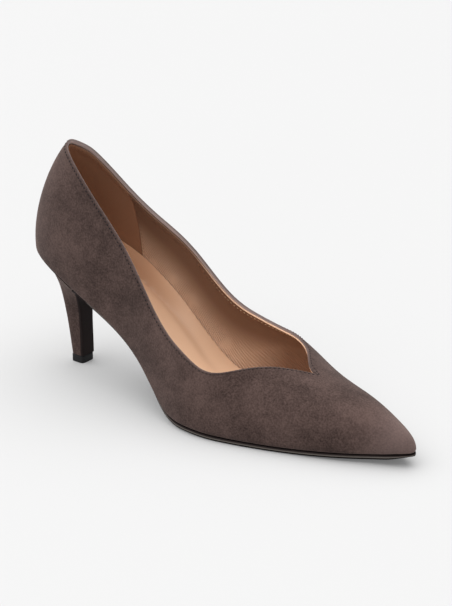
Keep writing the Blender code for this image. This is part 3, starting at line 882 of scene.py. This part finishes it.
# %% The lining's shell
LINING_THICK = 0.7
LINING_ROWS = 4
LINING_BULGE = 0.12
CUT_WIDE = 0.6
TOUCH = 0.03

# Runs along the shoe over which the cut edge shows as pale bare leather instead of the painted shade, and
# over which the painted shade sets in towards the toe
BARE_LOBES = (95, 125)
BARE_HEEL = (8, 20)
SHADE_TOE = (108, 152)

# The sock's flank, which rises up the inner wall: its height, and where across the sock it starts
FLANK = np.array([
    # along, height, start
    (0.00, 0.0, 0.95),
    (0.05, 6.0, 0.95),
    (0.10, 10.5, 0.95),
    (0.16, 12.6, 0.95),
    (0.22, 13.4, 0.95),
    (0.28, 11.6, 0.91),
    (0.34, 8.4, 0.85),
    (0.40, 3.6, 0.79),
    (0.46, 1.4, 0.76),
    (0.54, 0.0, 0.76),
])
FLANK_HEIGHT = spline(FLANK[:, 0], FLANK[:, 1], end=0.0)
FLANK_START = spline(FLANK[:, 0], FLANK[:, 2], start=0.0, end=0.0)


def make_lining():
    """The lining's shell, with its run and rise for the wrinkles, its shade and its pale cut edge."""
    surface = upper_sheet(LINING_SETBACK)
    points, _, _, ids, loop, around = surface
    edge = distance_to(points, points[loop])
    depth = suede_depth(edge + LINING_SETBACK) + TOUCH
    body, faces = shell(surface, depth, np.full(len(points), LINING_THICK), LINING_ROWS, LINING_BULGE)
    run = points[:, 0]
    rise = points[:, 2] - bed(run) - (ids_side(points, ids, around) > 0) * FLANK_HEIGHT(run / LENGTH)
    bare = np.maximum(soft_step(run, *BARE_LOBES), 0.7 * (1 - soft_step(run, *BARE_HEEL)))
    cut = (1 - soft_step(edge, CUT_WIDE / 2, CUT_WIDE)) * bare
    # painted shade, up the wall and towards the toe
    shade = 0.95 * soft_step(rise / (rise + edge + 1), 0.1, 0.72)
    shade = np.maximum(shade, 0.9 * soft_step(run, *SHADE_TOE))
    values = {
        "run": on_shell(run, run, 200.0, body),
        "rise": on_shell(rise, rise, 60.0, body),
        "shade": on_shell(shade, shade, (1 - bare[loop]) * shade[loop], body),
        "cut": on_shell(0 * run, cut, bare[loop], body),
    }
    return new_piece("lining", body, faces, lining_leather("Lining leather"), None, values)


lining = make_lining()

# %% [markdown]
# ## The sock
# The sock is glued to the insole board and fills the foot bed from wall to wall. Under the arch it runs up
# the inner wall as a flank. It is a sheet across the shoe: flat and a little crowned over the board, then a
# power curve up the flank, held just off the lining by asking the wall how far in it stands at each height.

# %% The sock's surface
INSOLE = 2.6
SOCK_LEVEL = WALL + GAP + INSOLE
SOCK_CLEARANCE = 0.3
SOCK_COLUMNS = 150
SOCK_ROWS = 48
SOCK_CROWN = 0.5
FLANK_POWER = 1.5
FOLD_DEEP = 0.45
FOLD_WIDE = 2.5
RIM_DEEP = 0.5
RIM_WIDE = 0.5

# The sock's heights are met below this parameter of the wall curves
STEEP = 0.7


def wall_reach(radii, heights, z):
    """How far out the wall curves stand at given heights: Newton's steps towards their parameters."""
    t = (z - heights[0][:, None]) / (3 * (heights[1] - heights[0])[:, None])
    for _ in range(6):
        slope = (cubic(heights, t + TINY) - cubic(heights, t - TINY)) / (2 * TINY)
        t = np.clip(t - (cubic(heights, t) - z) / slope, 0, STEEP)
    return cubic(radii, t)


def make_sock():
    """Straight lines across the shoe between two edges, with a crown, a flank and rounded rims."""
    places = np.linspace(0, 1, SOCK_COLUMNS + 1)
    share = share_at(places)[:, None]
    flank = FLANK_HEIGHT(share) * (share < FLANK[-1, 0])
    start = FLANK_START(share)
    edges = []
    walls = []
    for side, lift in ((OUTER, 0 * flank), (INNER, flank)):
        axis, out, radii, heights = wall_frame(places, side)
        level = heights[0][:, None] + SOCK_LEVEL + lift
        reach = np.maximum(wall_reach(radii, heights, level)[:, 0] - WALL - SOCK_CLEARANCE, 0)
        edges.append(np.stack([axis[0] + out[0] * reach, axis[1] + out[1] * reach], axis=-1))
        walls.append((radii, heights, reach))
    edges[1][[0, -1]] = edges[0][[0, -1]]
    width = np.maximum(np.linalg.norm(edges[1] - edges[0], axis=1)[:, None], 1e-6)
    across = share_at(np.linspace(0, 1, SOCK_ROWS + 1)) + 0 * share
    up = flank * np.clip((across - start) / (1 - start), 0, 1) ** FLANK_POWER
    radii, heights, reach = walls[1]
    wall_in = wall_reach(radii, heights, heights[0][:, None] + SOCK_LEVEL + up - INSOLE)
    wall_in = wall_in - WALL - SOCK_CLEARANCE
    free = np.where(flank > 0, np.maximum(reach[:, None] - wall_in, 0), 0)
    across = np.minimum(across, 1 - np.minimum(free / width, 0.5))
    plan = edges[0][:, None] + (edges[1] - edges[0])[:, None] * across[..., None]
    x = plan[..., 0]
    side_gap = np.minimum(across, 1 - across) * width
    crown = SOCK_CROWN * (1 - (2 * across - 1) ** 2)
    rim = -RIM_DEEP * np.exp(-((side_gap / RIM_WIDE) ** 2))
    fold = np.exp(-(((across - start) * width / FOLD_WIDE) ** 2)) * soft_step(flank, 0, 3)
    top = above_bed(x, SOCK_LEVEL) + up + crown + rim - FOLD_DEEP * fold
    upper = np.concatenate([plan, top[..., None]], axis=-1)
    lower = np.concatenate([plan, (above_bed(x, WALL + GAP) + up)[..., None]], axis=-1)
    points, quads, found = tube(np.concatenate([upper, lower[:, ::-1]], axis=1))
    values = {"fold": np.hstack([fold, 0 * fold]).ravel()[found]}
    return new_piece("sock", points, quads, sock_leather("Sock leather"), "insole", values)


sock = make_sock()

# %% [markdown]
# ## The heel
# The heel block is turned from plastic and covered in the same suede. Each cross-section blends the round
# tip into the outline of the heel seat, and the surface is the stack of these sections.

# %% The heel's sections
BREAST = 43.0
FLAP = 1.2
TIP_WIDTH = 10.0
TIP_DEPTH = 9.0
LIFT = 4.5
SEAT_INSET = 0.7
SEAT_GAP = 0.05
RIM_TURN = 8.0
TIP_SQUARENESS = 5.0
HEEL_COLUMNS = 40
HEEL_ROWS = 64
HEEL_LOW = LIFT + GAP
CAP_RINGS = np.array([0.85, 0.5, 0.0])

# The heel's form between the tip (0) and the seat (1)
HEEL = np.array([
    # up, width, back, front, likeness to the seat's outline
    (0.00, 0.000, 0.000, 0.00, 0.00),
    (0.15, 0.000, 0.060, 0.00, 0.00),
    (0.30, 0.000, 0.125, -0.01, 0.00),
    (0.45, 0.005, 0.205, -0.02, 0.00),
    (0.60, 0.035, 0.290, -0.02, 0.00),
    (0.72, 0.120, 0.375, 0.02, 0.10),
    (0.84, 0.320, 0.510, 0.20, 0.35),
    (0.93, 0.610, 0.705, 0.52, 0.70),
    (1.00, 1.000, 1.000, 1.00, 1.00),
])
HEEL_WIDTH, HEEL_BACK, HEEL_FRONT, HEEL_LIKENESS = (spline(HEEL[:, 0], HEEL[:, k]) for k in range(1, 5))


def heel_front(up):
    """The front of the heel: x, height and the two half-widths."""
    tip_x = HEEL_SET_IN + TIP_DEPTH / 2
    x = tip_x + (BREAST - tip_x) * HEEL_FRONT(up) - FLAP - GAP
    z = HEEL_LOW + (above_bed(BREAST, -SEAT_GAP) - HEEL_LOW) * up
    halves = []
    for side in (OUTER, INNER):
        seat_half = abs(feather(round_place(BREAST / LENGTH), side, SEAT_INSET)[1])
        halves.append(TIP_WIDTH / 2 + (seat_half - TIP_WIDTH / 2) * HEEL_WIDTH(up))
    return x, z, halves


def corner_rise(inset):
    """How high the upper's rounded corner stands off the margin, at an inset."""
    return CORNER * np.clip(1 - np.sqrt(inset / CORNER), 0, 1) ** 2


def heel_half(up, side):
    """Sections from the middle of the back round to a front corner, as rows of points."""
    around = np.linspace(0, 1, HEEL_COLUMNS + 1)[None]
    up = np.asarray(up)[:, None]
    front_x, _, halves = heel_front(up)
    half = halves[0] if side == OUTER else halves[1]
    back_x = HEEL_SET_IN - TIP_DEPTH / 2
    back_x = back_x + (SEAT_INSET - back_x) * HEEL_BACK(up)
    seat_x, seat_y = feather(around * round_place(BREAST / LENGTH), side, SEAT_INSET)
    seat_depth = (seat_x - seat_x[:, :1]) / (seat_x[:, -1:] - seat_x[:, :1])
    seat_width = np.abs(seat_y) / np.abs(seat_y[:, -1:])
    angle = around * np.pi / 2
    tip_depth = 1 - np.cos(angle) ** (2 / TIP_SQUARENESS)
    tip_width = np.sin(angle) ** (2 / TIP_SQUARENESS)
    mix = HEEL_LIKENESS(up)
    x = back_x + (front_x - back_x) * (tip_depth + (seat_depth - tip_depth) * mix)
    y = side * half * (tip_width + (seat_width - tip_width) * mix)
    seat_z = above_bed(seat_x, -SEAT_GAP) + corner_rise(SEAT_INSET) * up**RIM_TURN
    z = HEEL_LOW + (seat_z - HEEL_LOW) * up
    return np.stack([x, y, z], axis=-1)


# %% The heel's surface
def make_heel():
    """A closed ring of points for each section, with the front between its corners, and two caps."""
    up = np.linspace(0, 1, HEEL_ROWS + 1)
    outer = heel_half(up, OUTER)
    inner = heel_half(up, INNER)
    ring = np.concatenate([outer[:, ::-1], inner[:, 1:]], axis=1)
    front_x, front_z, halves = heel_front(up)
    right = np.stack([front_x, halves[1], front_z], axis=-1)[:, None]
    left = np.stack([front_x, -halves[0], front_z], axis=-1)[:, None]
    right[-1], left[-1] = ring[-1, -1:], ring[-1, :1]
    front = right + (left - right) * BETWEEN[:, None]
    ring = np.concatenate([ring, front], axis=1)
    rows = [ring]
    for k in (0, -1):
        middle = ring[k].mean(axis=0)
        cap = middle + (ring[k] - middle) * CAP_RINGS[:, None, None]
        if k == -1:
            cap[..., 2] = above_bed(cap[..., 0], -SEAT_GAP)
        cap[-1] = cap[-1].mean(axis=0)
        rows = [cap[::-1], *rows] if k == 0 else [*rows, cap]
    points, quads, _ = tube(np.concatenate(rows))
    return new_piece("heel_cover", points, quads, suede("Heel suede", worked=False), "heel")


heel_cover = make_heel()

# %% [markdown]
# ## The top lift
# The wearing piece continues the tip's outline down to the floor, with a small chamfer at either face.

# %% The top lift's surface
LIFT_CHAMFER = 0.35
LIFT_COLUMNS = 72


def make_top_lift():
    """The tip's rounded outline, drawn down and shrunk a little at both faces."""
    angle = np.linspace(0, 2 * np.pi, LIFT_COLUMNS + 1)[:-1]
    power = 2 / TIP_SQUARENESS
    x = np.sign(np.cos(angle)) * np.abs(np.cos(angle)) ** power * TIP_DEPTH / 2
    y = np.sign(np.sin(angle)) * np.abs(np.sin(angle)) ** power * TIP_WIDTH / 2
    levels = np.array([0, 0, LIFT_CHAMFER, LIFT - LIFT_CHAMFER, LIFT, LIFT])[:, None]
    face = 1 - 2 * LIFT_CHAMFER / TIP_DEPTH
    shrink = np.array([0, face, 1, 1, face, 0])[:, None]
    stack = np.stack([x * shrink + HEEL_SET_IN, y * shrink, levels + 0 * x], axis=-1)
    points, quads, _ = tube(stack)
    return new_piece("top_lift_rubber", points, quads, rubber("Rubber"), "top_lift", sharp=30)


top_lift = make_top_lift()

# %% [markdown]
# ## The sole
# One thin sole runs from the toe to the heel and turns down the heel's front as a flap. Its path is a line
# in the middle plane, along which a flat section with rounded lower edges is carried.

# %% The sole's surface
WAIST_SOLE = 1.6
SOLE_INSET = 1.2
WAIST_INSET = 2.4
WAIST_END = 0.40
TREAD_START = 0.52
SOLE_COLUMNS = 150
SOLE_EDGE = 0.5
TOE_THIN = 0.65
TOE_THIN_RUN = 14.0
TOE_INSET = 0.1
TOE_INSET_RUN = 22.0
FLAP_SHARE = 0.97
FLAP_ROWS = 60
TURN_ROWS = 5
RIM_END = 6


def forepart_share(x):
    """0 along the waist and 1 from the start of the tread."""
    return soft_step(x / LENGTH, WAIST_END, TREAD_START)


def offset_path(path, distance):
    """A path in the middle plane moved to its right-hand side, with mitred corners."""
    run = unit(np.diff(path, axis=0))
    normal = np.stack([-run[:, 1], run[:, 0]], -1)
    before = np.vstack([normal[:1], normal])
    after = np.vstack([normal, normal[-1:]])
    mitre = before + after
    mitre /= (mitre * before).sum(1)[:, None]
    return path + mitre * np.reshape(distance, (-1, 1))


def make_outsole():
    """A rounded flat section between the sole's two edges, from the toe to the flap's end."""
    places = np.linspace(1, round_place((BREAST + FLAP) / LENGTH), SOLE_COLUMNS)
    flap_x, flap_z, flap_halves = heel_front(np.linspace(FLAP_SHARE, 0, FLAP_ROWS))
    flap = offset_path(np.stack([flap_x, flap_z], -1), GAP)
    sides = []
    for side, half in zip((OUTER, INNER), flap_halves):
        along = LENGTH * share_at(places)
        inset = WAIST_INSET + (SOLE_INSET - WAIST_INSET) * forepart_share(along)
        inset = TOE_INSET + (inset - TOE_INSET) * soft_step(LENGTH - along, 0, TOE_INSET_RUN)
        x, y = feather(places, side, inset)
        path = np.vstack([np.stack([x, above_bed(x, -GAP)], -1), flap])
        full = TREAD_HEIGHT - GAP
        thin = WAIST_SOLE + (full - WAIST_SOLE) * forepart_share(x)
        thin = thin * (1 - TOE_THIN * (1 - soft_step(LENGTH - x, 0, TOE_THIN_RUN)))
        thickness = np.concatenate([thin, np.full(len(flap), FLAP)])
        across = np.concatenate([y, side * np.minimum(half, abs(y[-1]))])
        sides.append((path, thickness, across))
    rows = []
    turn = np.linspace(0, np.pi / 2, TURN_ROWS)
    for path, thickness, across in sides:
        inward = -np.sign(across) * np.minimum(np.abs(across), 1)
        for low, move in [(0.0, 0.0), *zip(1 - SOLE_EDGE + SOLE_EDGE * np.sin(turn), 1 - np.cos(turn))]:
            drop = offset_path(path, thickness * low)
            radius = np.minimum(SOLE_EDGE * thickness, np.abs(across))
            shifted = across + inward * radius * move
            rows.append(np.stack([drop[:, 0], shifted, drop[:, 1]], -1))
    outer, inner = rows[: TURN_ROWS + 1], rows[TURN_ROWS + 1 :]
    bottom = [outer[-1] + (inner[-1] - outer[-1]) * s for s in BETWEEN]
    top = [inner[0] + (outer[0] - inner[0]) * s for s in BETWEEN]
    stack = np.stack([*outer, *bottom, *inner[::-1], *top], axis=1)
    end = stack[-1:].mean(axis=1, keepdims=True) + 0 * stack[-1:]
    points, quads, found = tube(np.concatenate([stack, end]))
    rim_highlight_and_shadow = np.zeros((len(stack) + 1, len(stack[0])))
    last = len(stack[0]) - len(top) - 1
    forepart = slice(0, SOLE_COLUMNS - RIM_END)
    # The rows under the edge get the painted shadow, and the edge's middle rows get the painted highlight
    rim_highlight_and_shadow[forepart, 2 : last - 1] = -1.0
    rim_highlight_and_shadow[forepart, [1, last - 1]] = 1.0
    values = {"rim": rim_highlight_and_shadow.ravel()[found]}
    return new_piece("outsole_leather", points, quads, dark_leather("Sole leather"), "outsole", values)


outsole = make_outsole()

# %% [markdown]
# ## Stitches
# A lockstitch runs round the topline. Each stitch is a short thread that dips into the leather at both
# ends, so one small capsule is computed once and set along the line by arrays of frames. The inner row
# follows the lining's cut edge.

# %% Stitches round the topline
STITCH_PITCH = 2.25
STITCH_LONG = 1.3
STITCH_WIDE = 0.7
STITCH_BELOW_CUT = 2.1
BOBBIN_WIDE = 0.5
STITCH_SUNK = 0.05
STITCH_AHEAD = 0.4


def capsule(length, width):
    """Rings along a stitch: a circle whose radius follows half an ellipse, bowed up in the middle."""
    along = np.linspace(-1, 1, 7)
    radius = width / 2 * np.sqrt(np.maximum(1 - along**4, 0))
    angle = np.linspace(0, 2 * np.pi, 9)[:-1]
    ring = np.stack([np.cos(angle), np.sin(angle)], -1)
    points = np.empty((len(along), len(angle), 3))
    points[..., 0] = along[:, None] * length / 2
    points[..., 1:] = radius[:, None, None] * ring
    points[..., 2] += (-0.25 * width * along**2)[:, None]
    return points


def set_along(line, normals, pitch, base):
    """Copies of a small shape at an even pitch round a closed line, each in its own frame."""
    closed = np.vstack([line, line[:1]])
    steps = np.linalg.norm(np.diff(closed, axis=0), axis=1)
    place = np.concatenate([[0], np.cumsum(steps)])
    count = int(place[-1] / pitch)
    at = (np.arange(count) + 0.5) * place[-1] / count

    def read(values, where):
        loop = np.vstack([values, values[:1]])
        return np.stack([np.interp(where % place[-1], place, loop[:, k]) for k in range(3)], -1)

    centre = read(line, at)
    along = unit(read(line, at + STITCH_AHEAD) - read(line, at - STITCH_AHEAD))
    across = unit(np.cross(read(normals, at), along))
    frames = np.stack([along, across, np.cross(along, across)], axis=1)
    copies = centre[:, None, None] + np.einsum("rcj,njk->nrck", base, frames)
    ids = np.arange(copies[..., 0].size).reshape(copies.shape[:3])
    ids = np.concatenate([ids, ids[:, :, :1]], axis=2)
    quads = np.stack([ids[:, :-1, :-1], ids[:, 1:, :-1], ids[:, 1:, 1:], ids[:, :-1, 1:]], -1)
    return copies.reshape(-1, 3), quads.reshape(-1, 4), count


def drop_onto(line, points, normals):
    """Each point of a line moved into the tangent plane of the nearest of a sheet's points."""
    squared = (line**2).sum(1)[:, None] + (points**2).sum(1)[None] - 2 * line @ points.T
    near = squared.argmin(axis=1)
    above = ((line - points[near]) * normals[near]).sum(axis=1)
    return line - above[:, None] * normals[near], normals[near]


def make_topline_stitches(name, depth, setback, wide, finish):
    """A row of stitches on the surface a depth inside the sheet, the setback below the topline."""
    points, _, normals, _, loop, _ = sheet
    away = edge_ways(points, normals, loop)
    line, out = drop_onto(points[loop] - away * setback[:, None], points, normals)
    facing = out if depth < EDGE_THICK else -out
    small, faces, count = set_along(line - out * depth, facing, STITCH_PITCH, capsule(STITCH_LONG, wide))
    print(name, "has", count, "stitches")
    return new_piece(name, small, faces, finish, sharp=180)


# Each thread's last colour is its painted shade towards the back of the shoe
outer_thread = thread("Dark thread", colour(40, 31, 29), colour(54, 43, 40), colour(20, 15, 16))
inner_thread = thread("Pale thread", colour(196, 160, 124), colour(232, 204, 172), colour(126, 92, 68))
topline_x = sheet[0][sheet[4], 0]
on_lobes = soft_step(topline_x / LENGTH, LOBE_FROM, LOBE_TO)
cut_below = LINING_SETBACK + (LOBE_SETBACK - LINING_SETBACK) * on_lobes
outside = 0 * topline_x + STITCH_DEPTH
inside_depth = EDGE_THICK + TOUCH + LINING_THICK - STITCH_SUNK
inside = cut_below + STITCH_BELOW_CUT
outer_stitches = make_topline_stitches("stitches_outside", STITCH_SUNK, outside, STITCH_WIDE, outer_thread)
inner_stitches = make_topline_stitches("stitches_inside", inside_depth, inside, BOBBIN_WIDE, inner_thread)

# %% [markdown]
# ## Floor, light and camera
# The shoe stands on a pale plane under a wide softbox. The plane glows a little, painted light that keeps
# the shadows light; a sky that brightens upwards stands for the softbox, and a wide sun gives the short
# contact shadows. The camera stands where the photograph's did. It is turned to the one shoe, and its lens
# is a fifth longer, so the shoe fills the picture and its perspective stays as it was.

# %% Floor
FLOOR_SIZE = 12.0
FLOOR_PAINTED_GLOW = 0.14


def make_floor():
    """A large pale square that glows a little: painted light, which keeps its shadows light."""
    half = FLOOR_SIZE / 2
    mesh = bpy.data.meshes.new("floor")
    corners = [(-half, -half, 0), (half, -half, 0), (half, half, 0), (-half, half, 0)]
    mesh.from_pydata(corners, [], [(0, 1, 2, 3)])
    finish = Finish("Floor", {
        "Roughness": 0.9,
        "Specular IOR Level": 0.1,
        "Emission Color": (1, 1, 1, 1),
        "Emission Strength": FLOOR_PAINTED_GLOW,
    })
    tone = finish.mix(finish.noise(900.0), colour(181, 181, 181), colour(183, 183, 183))
    mesh.materials.append(finish.feed(Base_Color=tone))
    floor = in_scene("floor", mesh)


make_floor()

# %% Light
SKY_LOW = 0.25
SKY_HIGH = 1.0
SKY_FROM = 0.15
SKY_TO = 0.95
SUN = 3.0
SUN_WIDTH = 100
SUN_WAY = Vector((-0.26, -0.04, 1.0))


def make_light():
    """A sky that brightens from the horizon to straight above, as under a wide softbox, and a soft sun."""
    world = bpy.data.worlds.new("Studio")
    bpy.context.scene.world = world
    world.use_nodes = True
    nodes = world.node_tree.nodes
    links = world.node_tree.links
    way = nodes.new("ShaderNodeTexCoord")
    parts = nodes.new("ShaderNodeSeparateXYZ")
    softbox = nodes.new("ShaderNodeMapRange")
    softbox.interpolation_type = "SMOOTHSTEP"
    limits = {"From Min": SKY_FROM, "From Max": SKY_TO, "To Min": SKY_LOW, "To Max": SKY_HIGH}
    for socket, value in limits.items():
        softbox.inputs[socket].default_value = value
    links.new(way.outputs["Generated"], parts.inputs[0])
    links.new(parts.outputs["Z"], softbox.inputs["Value"])
    links.new(softbox.outputs["Result"], nodes["Background"].inputs["Strength"])
    nodes["Background"].inputs["Color"].default_value = (1, 1, 1, 1)
    lamp = bpy.data.lights.new("Soft sun", "SUN")
    lamp.energy = SUN
    lamp.angle = np.radians(SUN_WIDTH)
    sun = in_scene("Soft sun", lamp)
    sun.rotation_euler = SUN_WAY.to_track_quat("Z", "Y").to_euler()
    bpy.context.scene.view_settings.view_transform = "Standard"


make_light()

# %% Camera
PHOTO_HEIGHT = 606
FOCAL = 1488.5
CLOSER = 1.2
SENSOR = 36.0
EYE = Vector((0.64537, -0.69491, 0.40673))
AIM = Vector((0.10746, -0.00399, 0.06215))


def make_camera():
    """The photograph's camera: its focal length in pixels becomes a lens by the sensor over the height."""
    data = bpy.data.cameras.new("Camera")
    data.sensor_width = SENSOR
    data.lens = CLOSER * FOCAL * SENSOR / PHOTO_HEIGHT
    camera = in_scene("Camera", data)
    camera.location = EYE
    camera.rotation_euler = (EYE - AIM).to_track_quat("Z", "Y").to_euler()
    bpy.context.scene.camera = camera
    print("lens", round(data.lens, 2), "mm")


make_camera()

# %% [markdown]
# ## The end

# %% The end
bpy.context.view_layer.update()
